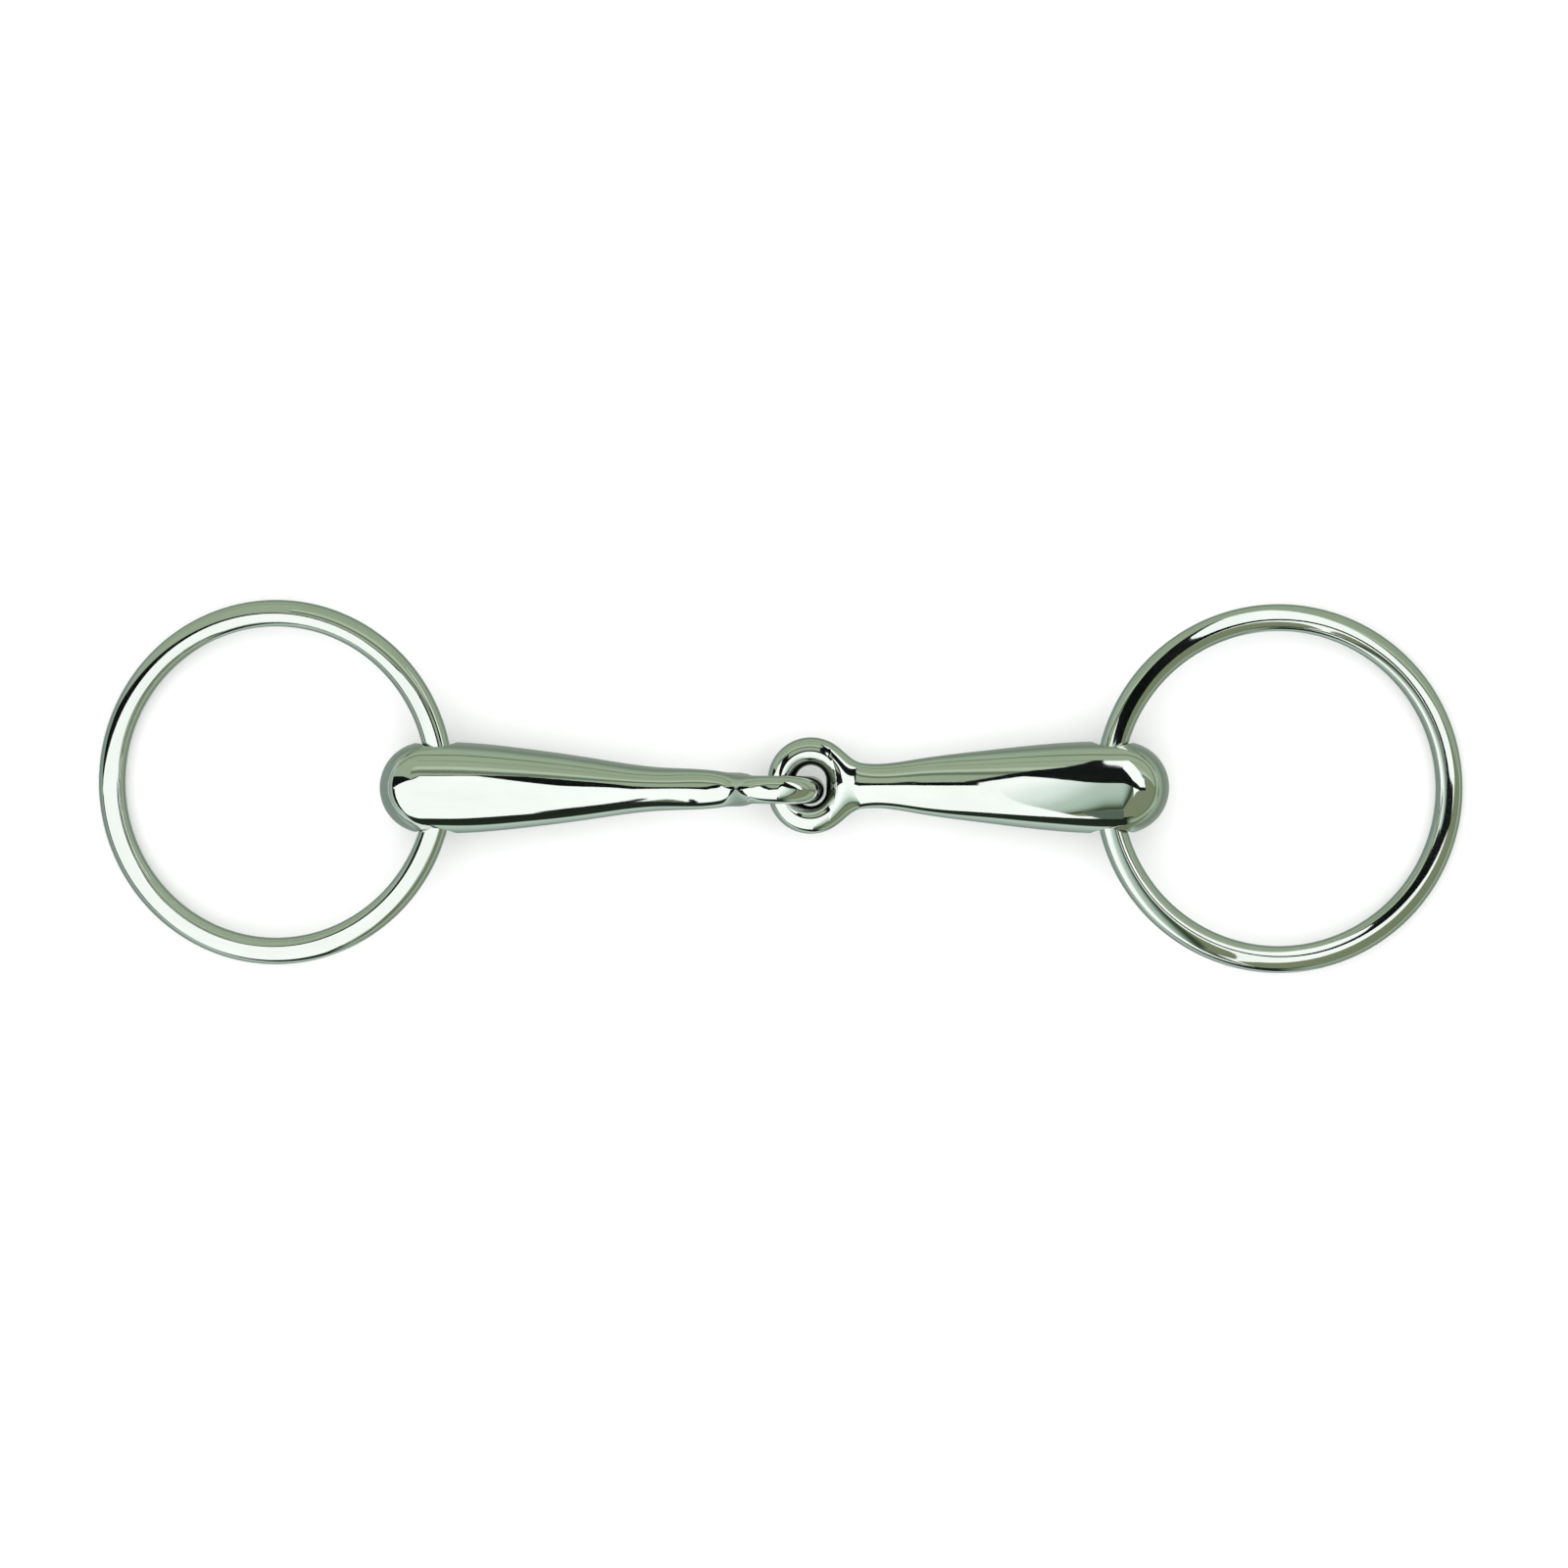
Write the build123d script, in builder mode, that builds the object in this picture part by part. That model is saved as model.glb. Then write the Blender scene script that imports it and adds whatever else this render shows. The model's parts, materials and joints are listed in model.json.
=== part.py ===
from build123d import *
from math import asin, cos, degrees, sin
import os

# Loose-ring single-jointed snaffle bit, millimetres, lying on the plane Z = 0.
# X runs along the mouthpiece, Y along the holes that the two rings hang in, Z is up.
# Each mouthpiece arm is a hollow tapered cannon with a cross bush and a forged eye welded in.
# "along" is the distance from an arm's ring hole towards the centre joint.

# rings
ring_inner_dia = 70
ring_wire_dia = 6
ring_seat = 37.2  # from the centre of a ring to the axis of its hole

# arms
hole_spacing = 151  # between the two ring-hole axes
left_reach = 76.35  # from the left ring hole to the centre of the left eye
right_reach = 67.0  # from the right ring hole to the centre of the right eye
end_radius = 10.2
dome_centre = 2.5  # outboard of the ring hole
taper_from = 3
left_taper = 63  # length of the tapering part
right_taper = 53
wide_half_widths = (9.4, 7.9, 6.15, 5.15)  # in the plane of the eye, at each quarter of the taper
narrow_half_widths = (9.0, 6.9, 4.85, 3.65)  # across the plane of the eye
wall = 1.5
seam_before_neck = 8  # the weld between cannon and eye, back from the end of the taper
shank_length = 7
plug_play = 0.05

# ring holes
bore_radius = 4.2
bush_wall = 1.2
mouth_round = 0.6

# eyes
eye_wire_radius = 3.1
left_eye_radius = 7.6  # middle of the wire, round eye standing upright
right_eye_radius = 6.55  # middle of the wire, lying flat
right_eye_straight = 1.1  # half the straight run that makes the flat eye oval
eye_root = (6.2, 3.0)  # half widths where the neck runs into the eye's wire
left_arm_drop = 1.0  # the upright eye hangs low in the flat one

wire_radius = ring_wire_dia / 2
ring_radius = ring_inner_dia / 2 + wire_radius
left_hole_x, right_hole_x = -hole_spacing / 2, hole_spacing / 2
axis_height = left_eye_radius + eye_wire_radius


def section_plane(along):
    """A plane across an arm, its X towards the arm's wide side and its normal towards the joint."""
    return Plane(origin=(along, 0, 0), x_dir=(0, 1, 0), z_dir=(1, 0, 0))


def stations(taper, reach, eye_radius):
    """Places along an arm with its half widths there, from the dome to the wire of its eye."""
    places = [(-dome_centre, end_radius, end_radius), (0, end_radius, end_radius)]
    places.append((taper_from, end_radius, end_radius))
    for quarter, half_widths in enumerate(zip(wide_half_widths, narrow_half_widths), start=1):
        places.append((taper_from + taper * quarter / 4, *half_widths))
    places.append((reach - eye_radius, *eye_root))
    return places


def loft_through(places, inset=0):
    """A smooth body through oval sections, each drawn in by the inset."""
    with BuildPart(mode=Mode.PRIVATE) as body:
        for along, wide, narrow in places:
            with BuildSketch(section_plane(along)):
                Ellipse(wide - inset, narrow - inset)
        loft()
    return body.part


def dome(radius):
    """The rounded outboard end of an arm."""
    with BuildPart(mode=Mode.PRIVATE) as body:
        with Locations((-dome_centre, 0, 0)):
            Sphere(radius)
        split(bisect_by=section_plane(-dome_centre), keep=Keep.BOTTOM)
    return body.part


def outer_form(places):
    """The whole outside of an arm, without the eye's ring."""
    with BuildPart(mode=Mode.PRIVATE) as body:
        add(loft_through(places))
        add(dome(end_radius))
    return body.part


def cross_cylinder(radius, hole_dir):
    """A cylinder through the arm on the axis of its ring hole."""
    with BuildPart(mode=Mode.PRIVATE) as body:
        with BuildSketch(Plane(origin=(0, 0, 0), z_dir=hole_dir)):
            Circle(radius)
        extrude(amount=2 * end_radius, both=True)
    return body.part


def inner_form(places, inset):
    """The space inside an arm's wall, or a plug for it."""
    with BuildPart(mode=Mode.PRIVATE) as body:
        add(loft_through(places, inset))
        add(dome(end_radius - inset))
    return body.part


def hollow_cannon(places, seam, hole_dir):
    """The tapered tube with its closed dome, open at the seam and at both ends of the bush."""
    with BuildPart(mode=Mode.PRIVATE) as body:
        add(outer_form(places))
        add(inner_form(places, wall), mode=Mode.SUBTRACT)
        add(cross_cylinder(bore_radius + bush_wall, hole_dir), mode=Mode.SUBTRACT)
        split(bisect_by=section_plane(seam), keep=Keep.BOTTOM)
    return body.part


def ring_bush(places, hole_dir):
    """The tube across the thick end, trimmed flush, with the mouths of its bore rounded."""
    with BuildPart(mode=Mode.PRIVATE) as body:
        add(outer_form(places))
        add(cross_cylinder(bore_radius + bush_wall, hole_dir), mode=Mode.INTERSECT)
        add(cross_cylinder(bore_radius, hole_dir), mode=Mode.SUBTRACT)
        bore = body.faces().filter_by(GeomType.CYLINDER).sort_by(SortBy.RADIUS)[0]
        mouths = bore.edges().filter_by(GeomType.LINE, reverse=True)
        fillet(mouths, mouth_round)
    return body.part


def eye_ring(centre, radius, straight):
    """The loop of an eye: a round wire bent to a circle, or to an oval with two short straight runs."""
    with BuildPart(mode=Mode.PRIVATE) as body:
        with BuildLine(Plane.XY) as loop:
            if straight:
                Line((centre + radius, -straight), (centre + radius, straight))
                CenterArc((centre, straight), radius, 0, 180)
                Line((centre - radius, straight), (centre - radius, -straight))
                CenterArc((centre, -straight), radius, 180, 180)
            else:
                CenterArc((centre, 0), radius, 0, 360)
        with BuildSketch(Plane(origin=(centre + radius, 0, 0), z_dir=(0, 1, 0))):
            Circle(eye_wire_radius)
        sweep(path=loop.wires()[0])
    return body.part


def forged_eye(places, seam, radius, straight):
    """The eye with its neck, and the shank that plugs the narrow end of the cannon."""
    centre = places[-1][0] + radius
    with BuildPart(mode=Mode.PRIVATE) as shank:
        add(loft_through(places, wall + plug_play))
        split(bisect_by=section_plane(seam), keep=Keep.BOTTOM)
        split(bisect_by=section_plane(seam - shank_length), keep=Keep.TOP)
    with BuildPart(mode=Mode.PRIVATE) as body:
        add(outer_form(places))
        split(bisect_by=section_plane(seam), keep=Keep.TOP)
        add(shank.part)
        add(eye_ring(centre, radius, straight))
    return body.part


def hanging_ring():
    """A ring of round rod, welded closed, about its own centre."""
    with BuildPart(mode=Mode.PRIVATE) as body:
        Torus(ring_radius, wire_radius)
    return body.part


def finish(piece, name):
    """Name a piece and write it out."""
    piece.part.label = name
    export_step(piece.part, f"parts/{name}.step")
    print(name, round(piece.part.volume), piece.part.is_valid, len(piece.part.solids()))


os.makedirs("parts", exist_ok=True)

# left arm: its eye stands upright, so its wide side is up, and its ring hole runs across its narrow side
left_place = Location((left_hole_x, -left_arm_drop, axis_height), (90, 0, 0))
left_stations = stations(left_taper, left_reach, left_eye_radius)
left_seam = taper_from + left_taper - seam_before_neck
left_hole_dir = (0, 0, 1)

with BuildPart() as left_cannon:
    add(hollow_cannon(left_stations, left_seam, left_hole_dir).moved(left_place))
finish(left_cannon, "left_cannon")

with BuildPart() as left_ring_bush:
    add(ring_bush(left_stations, left_hole_dir).moved(left_place))
finish(left_ring_bush, "left_ring_bush")

with BuildPart() as left_eye:
    add(forged_eye(left_stations, left_seam, left_eye_radius, 0).moved(left_place))
finish(left_eye, "left_eye")

# right arm: turned end for end, with its eye lying flat
right_place = Location((right_hole_x, 0, axis_height), (0, 0, 180))
right_stations = stations(right_taper, right_reach, right_eye_radius)
right_seam = taper_from + right_taper - seam_before_neck
right_hole_dir = (0, 1, 0)

with BuildPart() as right_cannon:
    add(hollow_cannon(right_stations, right_seam, right_hole_dir).moved(right_place))
finish(right_cannon, "right_cannon")

with BuildPart() as right_ring_bush:
    add(ring_bush(right_stations, right_hole_dir).moved(right_place))
finish(right_ring_bush, "right_ring_bush")

with BuildPart() as right_eye:
    add(forged_eye(right_stations, right_seam, right_eye_radius, right_eye_straight).moved(right_place))
finish(right_eye, "right_eye")

# rings: each hangs in its hole and drops outward until it touches the plane Z = 0
ring_drop = asin((axis_height - wire_radius) / (ring_seat + ring_radius))
ring_out = ring_seat * cos(ring_drop)
ring_height = axis_height - ring_seat * sin(ring_drop)

with BuildPart() as left_ring:
    add(hanging_ring().moved(Location((left_hole_x - ring_out, 0, ring_height), (0, -degrees(ring_drop), 0))))
finish(left_ring, "left_ring")

with BuildPart() as right_ring:
    add(hanging_ring().moved(Location((right_hole_x + ring_out, 0, ring_height), (0, degrees(ring_drop), 0))))
finish(right_ring, "right_ring")
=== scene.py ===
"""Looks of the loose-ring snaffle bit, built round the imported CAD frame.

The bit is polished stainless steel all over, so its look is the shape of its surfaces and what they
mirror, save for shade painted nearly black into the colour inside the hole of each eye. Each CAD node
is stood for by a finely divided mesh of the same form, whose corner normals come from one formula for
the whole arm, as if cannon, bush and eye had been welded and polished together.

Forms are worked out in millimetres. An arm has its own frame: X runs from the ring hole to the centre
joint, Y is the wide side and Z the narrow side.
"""

import json
import math

import bmesh
import bpy
import numpy as np
from mathutils import Matrix, Vector


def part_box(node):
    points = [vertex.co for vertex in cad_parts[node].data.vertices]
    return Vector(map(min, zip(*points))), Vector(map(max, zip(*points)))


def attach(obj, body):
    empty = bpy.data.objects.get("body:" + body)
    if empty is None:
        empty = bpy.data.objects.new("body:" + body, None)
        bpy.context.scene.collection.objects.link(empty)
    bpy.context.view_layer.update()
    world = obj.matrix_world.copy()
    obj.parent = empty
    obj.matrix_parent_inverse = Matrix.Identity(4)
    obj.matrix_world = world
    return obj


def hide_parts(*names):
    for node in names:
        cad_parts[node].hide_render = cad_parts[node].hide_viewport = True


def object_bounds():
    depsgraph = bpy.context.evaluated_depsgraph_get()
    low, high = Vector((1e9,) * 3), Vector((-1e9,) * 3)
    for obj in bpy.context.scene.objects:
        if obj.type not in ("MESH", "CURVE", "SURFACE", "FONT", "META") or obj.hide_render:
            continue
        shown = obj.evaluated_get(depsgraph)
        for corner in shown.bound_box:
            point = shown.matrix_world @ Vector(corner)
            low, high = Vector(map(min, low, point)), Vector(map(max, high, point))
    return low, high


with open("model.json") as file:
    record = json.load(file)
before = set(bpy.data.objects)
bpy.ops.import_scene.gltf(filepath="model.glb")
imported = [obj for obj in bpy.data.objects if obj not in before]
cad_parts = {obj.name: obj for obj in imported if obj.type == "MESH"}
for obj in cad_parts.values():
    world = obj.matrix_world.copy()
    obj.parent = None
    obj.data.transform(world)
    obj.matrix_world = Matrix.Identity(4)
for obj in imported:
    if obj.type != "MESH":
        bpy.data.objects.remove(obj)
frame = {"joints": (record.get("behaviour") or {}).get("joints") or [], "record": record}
cad_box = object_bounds()

MM = 0.001

# arms
END_RADIUS = 10.2
DOME_CENTRE = 2.5  # outboard of the ring hole
TAPER_FROM = 3
SEAM_BEFORE_NECK = 8  # the weld between cannon and eye, back from the end of the taper
WIDE_HALF_WIDTHS = (9.4, 7.9, 6.15, 5.15)  # at each quarter of the taper
NARROW_HALF_WIDTHS = (9.0, 6.9, 4.85, 3.65)
WALL = 1.5
SHANK_LENGTH = 7
SHANK_PLAY = 0.05
SHANK_INSET = WALL + SHANK_PLAY

# ring holes
BORE_RADIUS = 4.2
BUSH_WALL = 1.2
BUSH_RADIUS = BORE_RADIUS + BUSH_WALL
MOUTH_ROUND = 0.6
DRILL_REACH = 2 * END_RADIUS  # clear of the arm on both sides

# eyes
EYE_WIRE = 3.1
EYE_ROOT = (6.2, 3.0)
EYE_BLEND = 2.6  # how far the forged neck flows into the wire of the eye
LEFT_EYE_RADIUS = 7.6
RIGHT_EYE_RADIUS = 6.55
RIGHT_EYE_STRAIGHT = 1.1
EYE_SHADE_FROM = 0.3  # inside the middle of the wire, where the shade painted into the eye's hole begins
# where that painted shade is at its darkest
EYE_SHADE_TO = 2.5

# rings
RING_WIRE = 3
RING_RADIUS = 38  # to the middle of the wire, for the length of the buffing strokes

# fineness of the meshes
AROUND = 144  # points round an arm
ROW_STEP = 0.4  # between rows along an arm
DOME_ROWS = 40
BUSH_ROWS = 5  # across the flush end of a bush
MOUTH_ROWS = 9  # round the edge of its bore
EYE_STEPS = (96, 32)  # round the eye and round its wire
NECK_ROWS = 30
NECK_SPARE = 3  # of neck made past the weld, then cut off
NECK_HELD = 1  # of that, left where it is while the rest settles
EYE_VOXEL = 0.22
RING_STEPS = (320, 64)  # round the ring and round its wire
WELD_DISTANCE = 1e-5  # points nearer than this are one

# evening out the mesh of an eye
SMOOTH_ROUNDS = 3
PUSHES = 6  # onto the formula's surface, after each round
LONGEST_PUSH = 0.4
LEAST_SLOPE = 0.2  # squared, where the formula is nearly level

# corner normals: a face takes the formula's normal where it lies on the outside and faces the same way
SHARP_ANGLE = math.radians(40)
SAME_WAY = 0.9
ON_OUTSIDE = 0.03

# camera
CAMERA_DISTANCE = 1300
CAMERA_LEAN = math.radians(4)  # from straight above, towards the right ring
CAMERA_ROLL = math.radians(0.37)
VIEW_WIDTH = 349.6
SENSOR_WIDTH = 36
VIEW_CENTRE = (2.5, 0.3)

# steel, in its brighter and duller patches
ARM_COLOURS = ((0.82, 0.83, 0.81), (0.77, 0.785, 0.76))
RING_COLOURS = ((0.8, 0.81, 0.79), (0.75, 0.765, 0.74))
# painted shade: the colour the steel takes deep in the hole of an eye, standing in for the shade there
PAINTED_EYE_SHADE = (0.07, 0.075, 0.065)
PATCH_RANGE = (0.35, 0.65)  # of the noise, from dull to bright
GLOSS_RANGE = (0.12, 0.42)  # of strokes times patches, from smooth to rough

# studio
SOFTBOX_HEIGHT = 250
FLAG_HEIGHT = 100
CARD_REACH = 3000
FLOOR_REACH = 4000
PLAIN_LIGHT = 1.42
FLOOR_TONES = ((0.93, 0.93, 0.93), (0.96, 0.96, 0.96))
WHITE = (1.15, 1.2, 1.17)
BLACK = (0.004, 0.006, 0.005)
OLIVE = (0.22, 0.26, 0.16)
BACK_OLIVE = (0.37, 0.46, 0.33)
SHADE_OLIVE = (0.17, 0.22, 0.15)
STREAK_OLIVE = (0.52, 0.62, 0.47)
LINE_OLIVE = (0.22, 0.29, 0.2)
RIM_GREEN = (0.1, 0.14, 0.11)

# the right arm's wash: where it fades from white, and which way
WASH_DIRECTION = (1, -0.35, 0)
WASH_START = 20
WASH_END = 126

# what the steel mirrors from the horizon down to the floor, by height of the ray
FRONT_LIGHT = (
    (-0.97, (0.25, 0.32, 0.28)),
    (-0.8, (0.38, 0.48, 0.42)),
    (-0.5, (0.58, 0.71, 0.63)),
    (-0.44, (0.02, 0.03, 0.02)),
    (0.1, (0.015, 0.02, 0.015)),
)
BACK_LIGHT = (
    (-0.9, (0.3, 0.34, 0.3)),
    (-0.55, (0.2, 0.26, 0.2)),
    (-0.3, (0.36, 0.46, 0.34)),
    (-0.06, (0.38, 0.48, 0.34)),
    (-0.03, (0.17, 0.24, 0.14)),
    (0.1, (0.17, 0.24, 0.14)),
)
FRONT_TILT = (0.8, 0, 1)  # the front light's height is counted along this
FRONT_CAP = (0.05, 1, 1)  # and no farther to the right than this
BACKWARD = (0.7, 1, 0)
BACK_RANGE = (-0.12, 0.12)  # how far backward a ray goes, from front to back light
RIGHT_RANGE = (0.1, 0.25)  # how far to the right, from front to back light


# ---------------------------------------------------------------- forms


class Spline:
    """A cubic spline through points, level at its first point and free at its last."""

    def __init__(self, places, values):
        self.x, self.y = np.array(places, float), np.array(values, float)
        step = np.diff(self.x)
        rise = np.diff(self.y) / step
        count = len(self.x)
        system, right = np.zeros((count, count)), np.zeros(count)
        system[0, :2], right[0] = (2 * step[0], step[0]), 6 * rise[0]
        for i in range(1, count - 1):
            system[i, i - 1 : i + 2] = step[i - 1], 2 * (step[i - 1] + step[i]), step[i]
            right[i] = 6 * (rise[i] - rise[i - 1])
        system[-1, -1] = 1
        self.bend = np.linalg.solve(system, right)

    def __call__(self, place):
        i = np.clip(np.searchsorted(self.x, place) - 1, 0, len(self.x) - 2)
        step = self.x[i + 1] - self.x[i]
        b = (place - self.x[i]) / step
        a = 1 - b
        curve = (a**3 - a) * self.bend[i] + (b**3 - b) * self.bend[i + 1]
        return a * self.y[i] + b * self.y[i + 1] + curve * step**2 / 6


class Arm:
    """The outer form of one mouthpiece arm with its eye."""

    def __init__(self, side, hole_joint, turn, eye_radius, eye_straight):
        self.side = side
        hole = Vector(joints[hole_joint]["pos_m"]) / MM
        self.place = Matrix.Translation(hole) @ turn
        self.eye_radius, self.eye_straight = eye_radius, eye_straight
        self.reach = self.length_to(f"{side}_eye", hole) - eye_radius - EYE_WIRE
        self.seam = self.length_to(f"{side}_cannon", hole)
        self.root = self.reach - eye_radius
        taper = self.seam + SEAM_BEFORE_NECK - TAPER_FROM
        quarters = [TAPER_FROM + taper * quarter / 4 for quarter in (1, 2, 3, 4)]
        places = [-DOME_CENTRE, 0, TAPER_FROM, *quarters, self.root]
        self.wide = Spline(places, [END_RADIUS] * 3 + [*WIDE_HALF_WIDTHS, EYE_ROOT[0]])
        self.narrow = Spline(places, [END_RADIUS] * 3 + [*NARROW_HALF_WIDTHS, EYE_ROOT[1]])

    def length_to(self, node, hole):
        """How far a CAD node reaches from the ring hole towards the joint."""
        low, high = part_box(node)
        return high.x / MM - hole.x if self.side == "left" else hole.x - low.x / MM

    def half_widths(self, along):
        """Half the wide and half the narrow width, dome included."""
        out = np.clip(-DOME_CENTRE - along, 0, END_RADIUS)
        dome = np.sqrt(END_RADIUS**2 - out**2)
        behind = np.maximum(along, -DOME_CENTRE)
        on_dome = along < -DOME_CENTRE
        return np.where(on_dome, dome, self.wide(behind)), np.where(on_dome, dome, self.narrow(behind))

    def neck_distance(self, points):
        """About how far each point is outside the tapered body."""
        along, y, z = points.T
        wide, narrow = self.half_widths(np.maximum(along, -DOME_CENTRE))
        share = np.hypot(y / wide, z / narrow)
        oval = share * (share - 1) / np.maximum(np.hypot(y / wide**2, z / narrow**2), 1e-9)
        sphere = np.linalg.norm(points + (DOME_CENTRE, 0, 0), axis=1) - END_RADIUS
        body = np.where(along < -DOME_CENTRE, sphere, oval)
        return np.maximum(body, along - self.root)

    def wire_distance(self, points):
        """How far each point is outside the wire of the eye."""
        along, y, z = points.T
        bow = np.maximum(np.abs(y) - self.eye_straight, 0)
        return np.hypot(np.hypot(along - self.reach, bow) - self.eye_radius, z) - EYE_WIRE

    def distance(self, points):
        """How far each point is outside the arm, its neck flowing into the wire of the eye."""
        neck, wire = self.neck_distance(points), self.wire_distance(points)
        near = np.maximum(EYE_BLEND - np.abs(neck - wire), 0)
        return np.minimum(neck, wire) - near**2 / (4 * EYE_BLEND)

    def slope(self, points):
        """The direction in which the distance grows, and how fast."""
        tiny = 1e-3
        steps = [np.array(axis) * tiny for axis in ((1, 0, 0), (0, 1, 0), (0, 0, 1))]
        sides = [self.distance(points + step) - self.distance(points - step) for step in steps]
        return np.array(sides).T / (2 * tiny)


def unit(vectors):
    """The vectors at length one."""
    return vectors / np.maximum(np.linalg.norm(vectors, axis=1, keepdims=True), 1e-12)


# ---------------------------------------------------------------- meshes


def skin(rows, closed):
    """A mesh through rows of points, each a ring, or one point where the skin closes to a tip."""
    points, starts = [], []
    for row in rows:
        starts.append(len(points))
        points.extend(row)
    faces = []
    pairs = list(zip(range(len(rows) - 1), range(1, len(rows))))
    if closed:
        pairs.append((len(rows) - 1, 0))
    for first, second in pairs:
        a, b = len(rows[first]), len(rows[second])
        for i in range(max(a, b)):
            j = (i + 1) % max(a, b)
            near = [starts[first] + i % a, starts[first] + j % a]
            far = [starts[second] + j % b, starts[second] + i % b]
            faces.append(list(dict.fromkeys(near + far)))
    mesh = bpy.data.meshes.new("skin")
    mesh.from_pydata([tuple(p) for p in points], [], faces)
    tidy(mesh)
    return mesh


def tidy(mesh):
    """Weld doubled points and turn all faces outward."""
    bm = bmesh.new()
    bm.from_mesh(mesh)
    bmesh.ops.remove_doubles(bm, verts=bm.verts, dist=WELD_DISTANCE)
    bmesh.ops.recalc_face_normals(bm, faces=bm.faces)
    bm.to_mesh(mesh)
    bm.free()


def joined(meshes):
    """Several shells as one mesh."""
    bm = bmesh.new()
    for mesh in meshes:
        bm.from_mesh(mesh)
    whole = bpy.data.meshes.new("shells")
    bm.to_mesh(whole)
    bm.free()
    return whole


def with_modifier(mesh, kind, **settings):
    """The mesh after one modifier."""
    holder = bpy.data.objects.new("holder", mesh)
    bpy.context.scene.collection.objects.link(holder)
    modifier = holder.modifiers.new(kind, kind)
    for name, value in settings.items():
        setattr(modifier, name, value)
    graph = bpy.context.evaluated_depsgraph_get()
    made = bpy.data.meshes.new_from_object(holder.evaluated_get(graph))
    bpy.data.objects.remove(holder)
    return made


def cut_away(mesh, tool):
    """The mesh less another closed mesh."""
    cutter = bpy.data.objects.new("cutter", tool)
    bpy.context.scene.collection.objects.link(cutter)
    made = with_modifier(mesh, "BOOLEAN", operation="DIFFERENCE", solver="EXACT", object=cutter)
    bpy.data.objects.remove(cutter)
    return made


def coordinates(mesh):
    """The places of a mesh's points."""
    points = np.empty(len(mesh.vertices) * 3)
    mesh.vertices.foreach_get("co", points)
    return points.reshape(-1, 3)


def polish(mesh, arm=None):
    """Smooth shading, with the arm's own normals wherever a face lies on its outside."""
    mesh.shade_smooth()
    mesh.set_sharp_from_angle(angle=SHARP_ANGLE)
    if arm is None:
        return
    loops = len(mesh.loops)
    corner, vertex = np.empty(loops * 3), np.empty(loops, int)
    mesh.corner_normals.foreach_get("vector", corner)
    mesh.loops.foreach_get("vertex_index", vertex)
    corner = corner.reshape(-1, 3)
    flat = np.empty(len(mesh.polygons) * 3)
    mesh.polygon_normals.foreach_get("vector", flat)
    sizes = np.empty(len(mesh.polygons), int)
    mesh.polygons.foreach_get("loop_total", sizes)
    face = np.repeat(flat.reshape(-1, 3), sizes, axis=0)
    points = coordinates(mesh)
    outside = unit(arm.slope(points))[vertex]
    off = np.abs(arm.distance(points))[vertex]
    on_surface = (np.sum(outside * face, axis=1) > SAME_WAY) & (off < ON_OUTSIDE)
    mesh.normals_split_custom_set(np.where(on_surface[:, None], outside, corner).tolist())


def oval_row(along, wide, narrow):
    """An oval of points across the arm."""
    turn = np.arange(AROUND) * 2 * math.pi / AROUND
    return np.stack([np.full(AROUND, along), wide * np.cos(turn), narrow * np.sin(turn)], axis=1)


def shell_rows(arm, inset):
    """Rows from the seam to the tip of the dome, on the outside or drawn in by the wall."""
    count = round((arm.seam + DOME_CENTRE) / ROW_STEP)
    rows = []
    for along in np.linspace(arm.seam, -DOME_CENTRE, count):
        wide, narrow = arm.half_widths(along)
        rows.append(oval_row(along, wide - inset, narrow - inset))
    radius = END_RADIUS - inset
    for rise in np.linspace(0, math.pi / 2, DOME_ROWS)[1:-1]:
        across = radius * math.cos(rise)
        rows.append(oval_row(-DOME_CENTRE - radius * math.sin(rise), across, across))
    rows.append(np.array([(-DOME_CENTRE - radius, 0, 0)]))
    return rows


def across_hole(arm, along, side, height):
    """Points in the arm's frame, given about its hole: the left hole runs along Z, the right along Y."""
    if arm.side == "left":
        return np.stack([along, side, height], axis=1)
    return np.stack([along, height, side], axis=1)


def hole_ring(arm, radius, height, count=AROUND):
    """A ring of points about the axis of the ring hole."""
    turn = np.arange(count) * 2 * math.pi / count
    along, side = radius * np.cos(turn), radius * np.sin(turn)
    if callable(height):
        height = height(along, side)
    return across_hole(arm, along, side, np.broadcast_to(height, count))


def cannon_mesh(arm):
    """The hollow tapered tube: outside, dome, inside, and the two openings for the bush."""
    outside, inside = shell_rows(arm, 0), shell_rows(arm, WALL)
    shell = skin(outside, closed=False)
    lining = skin(inside, closed=False)
    lining.flip_normals()
    mesh = joined([shell, lining])
    close_seam(mesh)
    mesh = cut_away(mesh, drill_mesh(arm))
    polish(mesh, arm)
    return mesh


def drill_mesh(arm):
    """A cylinder through the arm, as wide as the bush."""
    rows = [hole_ring(arm, 0, -DRILL_REACH, count=1)]
    rows += [hole_ring(arm, BUSH_RADIUS, height) for height in (-DRILL_REACH, DRILL_REACH)]
    rows.append(hole_ring(arm, 0, DRILL_REACH, count=1))
    return skin(rows, closed=False)


def close_seam(mesh):
    """Join the outside to the lining at the weld."""
    bm = bmesh.new()
    bm.from_mesh(mesh)
    rims = [edge for edge in bm.edges if edge.is_boundary]
    bmesh.ops.bridge_loops(bm, edges=rims)
    bmesh.ops.recalc_face_normals(bm, faces=bm.faces)
    bm.to_mesh(mesh)
    bm.free()


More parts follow.
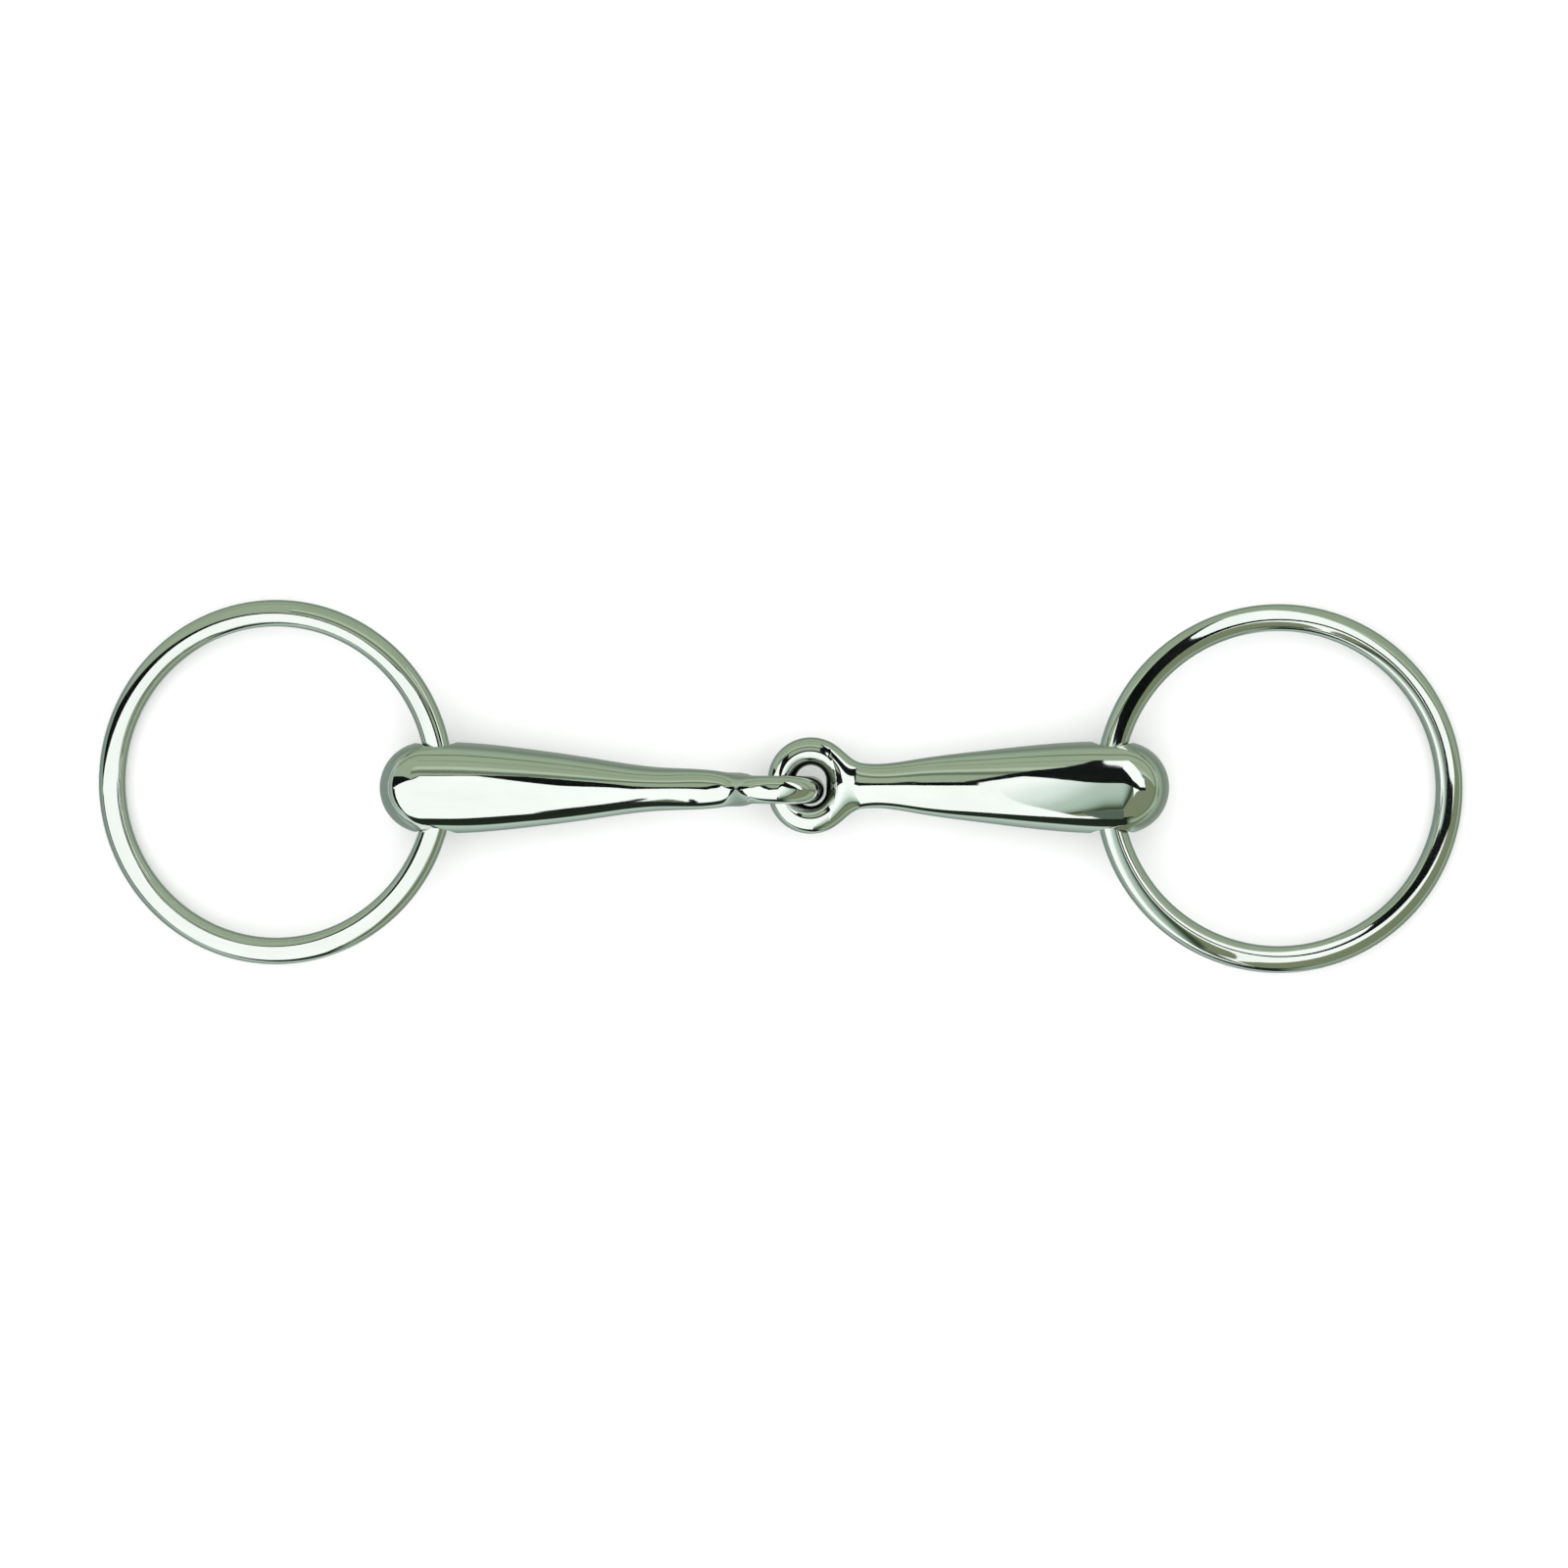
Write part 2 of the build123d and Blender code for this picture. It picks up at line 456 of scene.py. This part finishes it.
def bush_mesh(arm):
    """The tube across the thick end: its ends follow the arm's outside and round into the bore."""

    def surface(along, side):
        wide, narrow = arm.half_widths(along)
        high, low = (narrow, wide) if arm.side == "left" else (wide, narrow)
        return high * np.sqrt(1 - (side / low) ** 2)

    def mouth(drop):
        return lambda along, side: surface(along, side) - drop

    mouth_radius = BORE_RADIUS + MOUTH_ROUND
    profile = [(radius, 0) for radius in np.linspace(BUSH_RADIUS, mouth_radius, BUSH_ROWS)]
    for turn in np.linspace(0, math.pi / 2, MOUTH_ROWS)[1:]:
        inner = BORE_RADIUS + MOUTH_ROUND * (1 - math.sin(turn))
        profile.append((inner, MOUTH_ROUND * (1 - math.cos(turn))))
    top = [hole_ring(arm, radius, mouth(drop)) for radius, drop in profile]
    flip = (1, 1, -1) if arm.side == "left" else (1, -1, 1)
    bottom = [row * flip for row in reversed(top)]
    mesh = skin([*top, *bottom], closed=True)
    polish(mesh, arm)
    return mesh


def eye_loop_rows(arm):
    """The wire of the eye as rings round its centre line."""
    steps, spins = EYE_STEPS
    spin = np.arange(spins)[:, None] * 2 * math.pi / spins
    rows = []
    for turn in np.arange(steps) * 2 * math.pi / steps:
        out = np.array([math.cos(turn), math.sin(turn), 0])
        centre = np.array([arm.reach, math.copysign(arm.eye_straight, out[1]), 0]) + arm.eye_radius * out
        rows.append(centre + EYE_WIRE * (np.cos(spin) * out + np.sin(spin) * np.array([0, 0, 1])))
    return rows


def eye_mesh(arm):
    """The forged eye: wire and neck flowing into each other, and the shank that plugs the cannon."""
    beyond = arm.seam - NECK_SPARE
    neck = [np.array([(beyond, 0, 0)])]
    for along in np.linspace(beyond, arm.root, NECK_ROWS):
        neck.append(oval_row(along, *arm.half_widths(along)))
    neck.append(np.array([(arm.root, 0, 0)]))
    rough = joined([skin(neck, closed=False), skin(eye_loop_rows(arm), closed=True)])
    mesh = with_modifier(rough, "REMESH", mode="VOXEL", voxel_size=EYE_VOXEL)
    settle(mesh, arm, keep_below=beyond + NECK_HELD)
    add_shank(mesh, arm)
    polish(mesh, arm)
    return mesh


def settle(mesh, arm, keep_below):
    """Even the mesh out and move its points onto the arm's outside."""
    bm = bmesh.new()
    bm.from_mesh(mesh)
    all_ways = {"use_axis_x": True, "use_axis_y": True, "use_axis_z": True}
    for _ in range(SMOOTH_ROUNDS):
        bmesh.ops.smooth_vert(bm, verts=bm.verts, factor=0.5, **all_ways)
        points = np.array([v.co for v in bm.verts])
        for _ in range(PUSHES):
            slope = arm.slope(points)
            steepness = np.maximum(np.sum(slope**2, axis=1), LEAST_SLOPE)[:, None]
            push = np.clip(arm.distance(points)[:, None] * slope / steepness, -LONGEST_PUSH, LONGEST_PUSH)
            points = np.where(points[:, :1] < keep_below, points, points - push)
        for v, point in zip(bm.verts, points):
            v.co = point
    bm.to_mesh(mesh)
    bm.free()


def add_shank(mesh, arm):
    """Cut the neck off at the weld and carry it on as the shank."""
    bm = bmesh.new()
    bm.from_mesh(mesh)
    geometry = [*bm.verts, *bm.edges, *bm.faces]
    weld = {"plane_co": (arm.seam, 0, 0), "plane_no": (1, 0, 0)}
    bmesh.ops.bisect_plane(bm, geom=geometry, dist=WELD_DISTANCE, clear_inner=True, **weld)
    rim = [edge for edge in bm.edges if edge.is_boundary]
    wide, narrow = (float(width) for width in arm.half_widths(np.array(arm.seam)))
    for along in (arm.seam, arm.seam - SHANK_LENGTH):
        grown = bmesh.ops.extrude_edge_only(bm, edges=rim)["geom"]
        rim = [item for item in grown if isinstance(item, bmesh.types.BMEdge)]
        new_wide, new_narrow = (float(width) - SHANK_INSET for width in arm.half_widths(np.array(along)))
        for v in (item for item in grown if isinstance(item, bmesh.types.BMVert)):
            v.co = (along, v.co.y * new_wide / wide, v.co.z * new_narrow / narrow)
        wide, narrow = new_wide, new_narrow
    bmesh.ops.edgeloop_fill(bm, edges=rim)
    bmesh.ops.recalc_face_normals(bm, faces=bm.faces)
    bm.to_mesh(mesh)
    bm.free()


def ring_mesh(node):
    """A ring of round rod, leaning as the CAD ring does, and its centre."""
    low, high = (Vector(corner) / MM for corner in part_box(node))
    centre, half = (low + high) / 2, (high - low) / 2
    radius = half.y - RING_WIRE
    lean = math.asin((half.z - RING_WIRE) / radius) * (1 if centre.x > 0 else -1)
    steps, spins = RING_STEPS
    spin = np.arange(spins) * 2 * math.pi / spins
    rows = []
    for turn in np.arange(steps) * 2 * math.pi / steps:
        out = radius + RING_WIRE * np.cos(spin)
        rows.append(np.stack([out * math.cos(turn), out * math.sin(turn), RING_WIRE * np.sin(spin)], axis=1))
    mesh = skin(rows, closed=True)
    mesh.transform(Matrix.Translation(centre) @ Matrix.Rotation(lean, 4, "Y"))
    polish(mesh)
    return mesh, centre


# ---------------------------------------------------------------- materials


def add_node(tree, kind, **settings):
    """A shader node; settings named like sockets fill them, the others are the node's own."""
    made = tree.nodes.new(kind)
    for name, value in settings.items():
        label = name.replace("_", " ")
        if label in made.inputs:
            made.inputs[label].default_value = value
        else:
            setattr(made, name, value)
    return made


def chain(tree, *links):
    """Link pairs of sockets."""
    for source, target in links:
        tree.links.new(source, target)


def vector_math(tree, operation, where, *other, result="Vector"):
    """A calculation on a vector, with a fixed second vector if it needs one."""
    made = add_node(tree, "ShaderNodeVectorMath", operation=operation)
    if other:
        made.inputs[1].default_value = other[0]
    chain(tree, (where, made.inputs[0]))
    return made.outputs[result]


def remap(tree, value, start, end, **settings):
    """A value's way from start to end: 0 to 1 unless the settings say otherwise."""
    made = add_node(tree, "ShaderNodeMapRange", From_Min=start, From_Max=end, **settings)
    chain(tree, (value, made.inputs["Value"]))
    return made.outputs[0]


def mix_colours(tree, share, first, second):
    """From the first colour to the second, which may be a plain colour or a socket."""
    made = add_node(tree, "ShaderNodeMix", data_type="RGBA")
    colours = [socket for socket in made.inputs if socket.type == "RGBA"]
    chain(tree, (share, made.inputs["Factor"]), (first, colours[0]))
    if isinstance(second, tuple):
        colours[1].default_value = (*second, 1)
    else:
        chain(tree, (second, colours[1]))
    return next(socket for socket in made.outputs if socket.type == "RGBA")


def colour_ramp(tree, place, stops):
    """Colours at places from 0 to 1."""
    made = add_node(tree, "ShaderNodeValToRGB")
    elements = made.color_ramp.elements
    for element, (share, colour) in zip(elements, (stops[0], stops[-1])):
        element.position, element.color = share, (*colour, 1)
    for share, colour in stops[1:-1]:
        elements.new(share).color = (*colour, 1)
    chain(tree, (place, made.inputs["Fac"]))
    return made.outputs["Color"]


def round_a_ring(tree, where, centre):
    """Places counted round a ring about its centre, outward and up."""
    moved = vector_math(tree, "SUBTRACT", where, centre)
    parts = add_node(tree, "ShaderNodeSeparateXYZ")
    turn = add_node(tree, "ShaderNodeMath", operation="ARCTAN2")
    arc = add_node(tree, "ShaderNodeMath", operation="MULTIPLY")
    arc.inputs[1].default_value = RING_RADIUS * MM
    ring = add_node(tree, "ShaderNodeCombineXYZ")
    chain(
        tree,
        (moved, parts.inputs[0]),
        (parts.outputs["Y"], turn.inputs[0]),
        (parts.outputs["X"], turn.inputs[1]),
        (turn.outputs[0], arc.inputs[0]),
        (arc.outputs[0], ring.inputs["X"]),
        (vector_math(tree, "LENGTH", moved, result="Value"), ring.inputs["Y"]),
        (parts.outputs["Z"], ring.inputs["Z"]),
    )
    return ring.outputs[0]


def noise(tree, where, stretch, scale, detail):
    """Noise drawn out along the buffing strokes."""
    mapping = add_node(tree, "ShaderNodeMapping", Scale=(1 / stretch, 1, 1))
    made = add_node(tree, "ShaderNodeTexNoise", Scale=scale, Detail=detail, Roughness=0.6)
    chain(tree, (where, mapping.inputs["Vector"]), (mapping.outputs[0], made.inputs["Vector"]))
    return made.outputs["Fac"]


def painted_shade_in_eye(tree, arm):
    """How far a place lies into the hole of an eye, where shade is painted into the steel's colour: 0 to 1.
    """
    where = add_node(tree, "ShaderNodeTexCoord").outputs["Object"]
    middle = arm.place @ Vector((arm.reach, 0, 0))
    moved = vector_math(tree, "SUBTRACT", where, middle * MM)
    flat = vector_math(tree, "MULTIPLY", moved, (1, 0, 1) if arm.side == "left" else (1, 1, 0))
    away = vector_math(tree, "LENGTH", flat, result="Value")
    wall = (arm.eye_radius + arm.eye_straight / 2) * MM
    return remap(tree, away, wall - EYE_SHADE_FROM * MM, wall - EYE_SHADE_TO * MM, interpolation_type="SMOOTHSTEP")


def steel(name, bright, dull, centre=None, arm=None):
    """Buffed stainless steel: fine strokes, faint waves from hand polishing and slightly duller patches.

    The strokes run along an arm, or round a ring about its centre. An arm is given for the painted shade in
    its eye.
    """
    material = bpy.data.materials.new(name)
    material.use_nodes = True
    tree = material.node_tree
    shader = tree.nodes["Principled BSDF"]
    shader.inputs["Metallic"].default_value = 1
    where = add_node(tree, "ShaderNodeTexCoord").outputs["Object"]
    if centre is not None:
        where = round_a_ring(tree, where, centre)

    strokes = noise(tree, where, stretch=40, scale=6000, detail=3)
    patches = noise(tree, where, stretch=4, scale=180, detail=4)
    waves = noise(tree, where, stretch=6, scale=260, detail=1)

    colour = colour_ramp(tree, patches, list(zip(PATCH_RANGE, (dull, bright))))
    if arm:
        # painted shade: the colour turns nearly black in the hole of the eye
        colour = mix_colours(tree, painted_shade_in_eye(tree, arm), colour, PAINTED_EYE_SHADE)
    chain(tree, (colour, shader.inputs["Base Color"]))

    both = add_node(tree, "ShaderNodeMath", operation="MULTIPLY")
    chain(tree, (strokes, both.inputs[0]), (patches, both.inputs[1]))
    gloss = remap(tree, both.outputs[0], *GLOSS_RANGE, To_Min=0.02, To_Max=0.075)
    chain(tree, (gloss, shader.inputs["Roughness"]))

    wavy = add_node(tree, "ShaderNodeBump", Strength=0.5, Distance=0.00006)
    lined = add_node(tree, "ShaderNodeBump", Strength=0.35, Distance=0.0000025)
    chain(tree, (waves, wavy.inputs["Height"]), (strokes, lined.inputs["Height"]))
    chain(tree, (wavy.outputs[0], lined.inputs["Normal"]), (lined.outputs[0], shader.inputs["Normal"]))
    return material


def glow(name, colour):
    """A card that only gives light."""
    material = bpy.data.materials.new(name)
    material.use_nodes = True
    tree = material.node_tree
    tree.nodes.remove(tree.nodes["Principled BSDF"])
    light = add_node(tree, "ShaderNodeEmission", Color=(*colour, 1), Strength=1)
    chain(tree, (light.outputs[0], tree.nodes["Material Output"].inputs["Surface"]))
    return material


def fading_glow(name, across, start, end, stops):
    """A card whose light fades through colours along one direction, from start to end in millimetres."""
    material = glow(name, stops[0][1])
    tree = material.node_tree
    where = add_node(tree, "ShaderNodeTexCoord").outputs["Object"]
    along = vector_math(tree, "DOT_PRODUCT", where, across, result="Value")
    colour = colour_ramp(tree, remap(tree, along, start * MM, end * MM), stops)
    chain(tree, (colour, tree.nodes["Emission"].inputs["Color"]))
    return material


def floor_paint():
    """A plain pale studio floor with the faintest mottling."""
    material = bpy.data.materials.new("floor_paint")
    material.use_nodes = True
    tree = material.node_tree
    shader = tree.nodes["Principled BSDF"]
    shader.inputs["Roughness"].default_value = 0.9
    where = add_node(tree, "ShaderNodeTexCoord").outputs["Object"]
    mottling = noise(tree, where, stretch=1, scale=3, detail=2)
    colour = colour_ramp(tree, mottling, list(zip((0, 1), FLOOR_TONES)))
    chain(tree, (colour, shader.inputs["Base Color"]))
    return material


# ---------------------------------------------------------------- pieces


def add_piece(node, mesh, material):
    """Show a mesh in place of a CAD node, on that node's body."""
    mesh.name = node + "_polished"
    mesh.transform(Matrix.Scale(MM, 4))
    mesh.materials.clear()
    mesh.materials.append(material)
    piece = bpy.data.objects.new(node + "_polished", mesh)
    bpy.context.scene.collection.objects.link(piece)
    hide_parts(node)
    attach(piece, body_of_node[node])


def add_arm(arm, material, eye_material_with_painted_shade):
    """The three pieces of one arm."""
    parts = (
        ("cannon", cannon_mesh, material),
        ("ring_bush", bush_mesh, material),
        ("eye", eye_mesh, eye_material_with_painted_shade),
    )
    for part, make, paint in parts:
        mesh = make(arm)
        mesh.transform(arm.place)
        add_piece(f"{arm.side}_{part}", mesh, paint)


# ---------------------------------------------------------------- studio


def add_card(name, corners, height, material):
    """A flat card over the bit, seen only in what the steel mirrors."""
    mesh = bpy.data.meshes.new(name)
    mesh.from_pydata([(x * MM, y * MM, height * MM) for x, y in corners], [], [range(len(corners))])
    mesh.materials.append(material)
    card = bpy.data.objects.new(name, mesh)
    bpy.context.scene.collection.objects.link(card)
    card.visible_camera = card.visible_diffuse = card.visible_shadow = False


def add_softbox():
    """The white softbox, with an olive flag to the right and black ones to the left and in front."""
    far = CARD_REACH
    white = glow("white", WHITE)
    add_card("softbox", [(-far, -far), (far, -far), (far, far), (-far, far)], SOFTBOX_HEIGHT, white)
    left = [(-1050, -60), (-1050, -500), (-2000, -far), (-far, -far), (-far, -60)]
    add_card("left_flag", left, SOFTBOX_HEIGHT - 1, glow("left_black", BLACK))
    right = [(140, -far), (85, -420), (150, -190), (230, -60), (330, -20), (430, 20)]
    right += [(430, 200), (far, 200), (far, -far)]
    add_card("right_flag", right, SOFTBOX_HEIGHT - 1, glow("olive", OLIVE))
    front = [(28, -430), (44, -430), (75, -1100), (130, -1500), (600, -1700), (1200, -far)]
    front += [(90, -far), (24, -1300)]
    add_card("front_flag", front, SOFTBOX_HEIGHT - 2, glow("front_black", BLACK))


def add_back_flags():
    """The olive flag hung low at the back, with a shade, a streak and a line across it."""
    far = CARD_REACH
    edge = [(-1100, -60), (-122, 32), (-104, 38), (-90, 46), (-67, 50), (-39, 50), (-30, 36), (-20, 20)]
    edge += [(-8, 15), (14, 17), (24, 56), (400, 58), (far, 58)]
    back = [(-far, -60), *edge, (far, far), (-far, far)]
    add_card("back_flag", back, FLAG_HEIGHT, glow("back_olive", BACK_OLIVE))
    shade = [(-140, 60), (far, 60), (far, 82), (-140, 82)]
    add_card("back_shade", shade, FLAG_HEIGHT - 1, glow("shade", SHADE_OLIVE))
    streak = [(-140, 88), (far, 88), (far, 118), (-140, 118)]
    add_card("back_streak", streak, FLAG_HEIGHT - 1, glow("streak", STREAK_OLIVE))
    line = [(-140, 230), (far, 200), (far, 260), (-140, 250)]
    add_card("back_line", line, FLAG_HEIGHT - 1, glow("line", LINE_OLIVE))


def add_left_flags():
    """Black along the edge of the olive flag, over the left arm, and a black flag past the arm's end."""
    corner = [(-118, 31), (-1100, -60), (-1500, 460), (-190, 60)]
    add_card("corner_flag", corner, FLAG_HEIGHT - 2, glow("corner_black", BLACK))
    above = [(-122, 36), (-104, 41), (-90, 48), (-67, 53), (-47, 57), (-39, 52), (-30, 39)]
    above += [(-20, 23), (-8, 18), (14, 20)]
    below = [(14, 5), (-8, 0), (-20, -4), (-30, 7), (-39, 12), (-47, 25), (-67, 48), (-90, 44)]
    below += [(-104, 36), (-122, 31)]
    add_card("left_line", [*above, *below], FLAG_HEIGHT - 2, glow("line_black", BLACK))


def add_right_flags():
    """Over the right arm: a wash darkening outward, a black lens behind it and a white strip at its end."""
    fade = [(0.0, WHITE), (0.28, (0.82, 0.94, 0.88)), (0.45, (0.55, 0.67, 0.58))]
    fade += [(0.61, (0.47, 0.6, 0.51)), (0.73, (0.33, 0.44, 0.36)), (0.83, (0.12, 0.17, 0.12))]
    fade += [(0.9, (0.04, 0.065, 0.035)), (0.95, (0.06, 0.09, 0.05)), (1.0, OLIVE)]
    fading = fading_glow("fading_white", WASH_DIRECTION, WASH_START, WASH_END, fade)
    wash = [(20, 70), (108, 70), (124, -30), (104, -130), (84, -145), (84, -400), (20, -400)]
    add_card("right_wash", wash, FLAG_HEIGHT + 1, fading)
    rim = [(46, -165), (84, -140), (90, -330), (84, -1500), (50, -1500), (46, -330)]
    add_card("right_rim", rim, FLAG_HEIGHT, glow("rim_green", RIM_GREEN))
    lens = [(12, 14), (20, 30), (27, 46), (34, 40), (46, 28), (60, 18), (90, 12), (120, 0)]
    lens += [(156, -14), (220, -18), (206, 2), (156, 2), (118, 28), (92, 66), (78, 92), (72, 150)]
    lens += [(70, 260), (58, 240), (50, 150), (40, 108), (26, 84), (18, 50), (10, 22)]
    add_card("lens_flag", lens, FLAG_HEIGHT - 3, glow("lens_black", BLACK))
    strip = [(70, 230), (72, 150), (78, 92), (92, 66), (118, 28), (156, 2), (206, 2)]
    strip += [(176, 85), (151, 175), (130, 250)]
    add_card("strip_light", strip, FLAG_HEIGHT - 4, glow("strip_white", WHITE))


def light_by_height(tree, height, stops):
    """A ramp of colours from straight down to the horizon."""
    share = remap(tree, height, -1.0, 1.0)
    return colour_ramp(tree, share, [((1 + place) / 2, colour) for place, colour in stops])


def low_light(tree):
    """What a mirrored ray meets past the cards: the back light behind and to the right, else the front."""
    where = add_node(tree, "ShaderNodeTexCoord").outputs["Generated"]
    height = vector_math(tree, "DOT_PRODUCT", where, (0, 0, 1), result="Value")
    capped = vector_math(tree, "MINIMUM", where, FRONT_CAP)
    tilted = vector_math(tree, "DOT_PRODUCT", capped, FRONT_TILT, result="Value")
    backward = vector_math(tree, "DOT_PRODUCT", where, BACKWARD, result="Value")
    rightward = vector_math(tree, "DOT_PRODUCT", where, (1, 0, 0), result="Value")
    either = add_node(tree, "ShaderNodeMath", operation="MAXIMUM")
    chain(tree, (remap(tree, backward, *BACK_RANGE), either.inputs[0]))
    chain(tree, (remap(tree, rightward, *RIGHT_RANGE), either.inputs[1]))
    front = light_by_height(tree, tilted, FRONT_LIGHT)
    back = light_by_height(tree, height, BACK_LIGHT)
    return mix_colours(tree, either.outputs[0], front, back)


def add_world():
    """Plain white all round; only what the steel mirrors low down has a dark gap and a tinted floor."""
    world = bpy.data.worlds.new("studio")
    bpy.context.scene.world = world
    world.use_nodes = True
    tree = world.node_tree
    plain = tree.nodes["Background"]
    plain.inputs["Color"].default_value = (1, 1, 1, 1)
    plain.inputs["Strength"].default_value = PLAIN_LIGHT
    mirrored = add_node(tree, "ShaderNodeBackground", Strength=1)
    ray = add_node(tree, "ShaderNodeLightPath")
    choose = add_node(tree, "ShaderNodeMixShader")
    chain(
        tree,
        (low_light(tree), mirrored.inputs["Color"]),
        (ray.outputs["Is Glossy Ray"], choose.inputs["Fac"]),
        (plain.outputs[0], choose.inputs[1]),
        (mirrored.outputs[0], choose.inputs[2]),
        (choose.outputs[0], tree.nodes["World Output"].inputs["Surface"]),
    )


def add_floor():
    """The plane the bit lies on, which the steel doesn't mirror."""
    mesh = bpy.data.meshes.new("floor")
    reach = FLOOR_REACH * MM
    corners = [(-reach, -reach, 0), (reach, -reach, 0), (reach, reach, 0), (-reach, reach, 0)]
    mesh.from_pydata(corners, [], [range(4)])
    mesh.materials.append(floor_paint())
    floor = bpy.data.objects.new("floor", mesh)
    bpy.context.scene.collection.objects.link(floor)
    floor.visible_glossy = False


def add_camera():
    """Nearly straight above, leaning a little towards the right ring."""
    middle = (cad_box[0].z + cad_box[1].z) / 2
    target = Vector((VIEW_CENTRE[0] * MM, VIEW_CENTRE[1] * MM, middle))
    back = Vector((math.sin(CAMERA_LEAN), 0, math.cos(CAMERA_LEAN)))
    right = Vector((math.cos(CAMERA_ROLL), math.sin(CAMERA_ROLL), 0))
    right = (right - back * right.dot(back)).normalized()
    data = bpy.data.cameras.new("camera")
    data.sensor_width = SENSOR_WIDTH
    data.lens = SENSOR_WIDTH * CAMERA_DISTANCE / VIEW_WIDTH
    camera = bpy.data.objects.new("camera", data)
    turn = Matrix((right, back.cross(right), back)).transposed().to_4x4()
    camera.matrix_world = Matrix.Translation(target + back * CAMERA_DISTANCE * MM) @ turn
    bpy.context.scene.collection.objects.link(camera)
    bpy.context.scene.camera = camera


# ---------------------------------------------------------------- the bit

joints = {joint["name"]: joint for joint in frame["joints"]}
bodies = frame["record"]["behaviour"]["bodies"]
body_of_node = {node: body for body, nodes in bodies.items() for node in nodes}

upright = Matrix.Rotation(math.pi / 2, 4, "X")
turned_round = Matrix.Rotation(math.pi, 4, "Z")
left_arm = Arm("left", "left_ring_swing", upright, LEFT_EYE_RADIUS, 0)
right_arm = Arm("right", "right_ring_swing", turned_round, RIGHT_EYE_RADIUS, RIGHT_EYE_STRAIGHT)

arm_steel = steel("buffed_arm_steel", *ARM_COLOURS)
for arm in (left_arm, right_arm):
    # each eye's steel has shade painted nearly black into the colour inside its hole
    add_arm(arm, arm_steel, steel(f"buffed_{arm.side}_eye_steel_painted_shade", *ARM_COLOURS, arm=arm))

for node in ("left_ring", "right_ring"):
    mesh, centre = ring_mesh(node)
    material = steel(f"buffed_{node}_steel", *RING_COLOURS, centre=centre * MM)
    add_piece(node, mesh, material)

add_world()
add_softbox()
add_back_flags()
add_left_flags()
add_right_flags()
add_floor()
add_camera()
bpy.context.scene.view_settings.view_transform = "Standard"
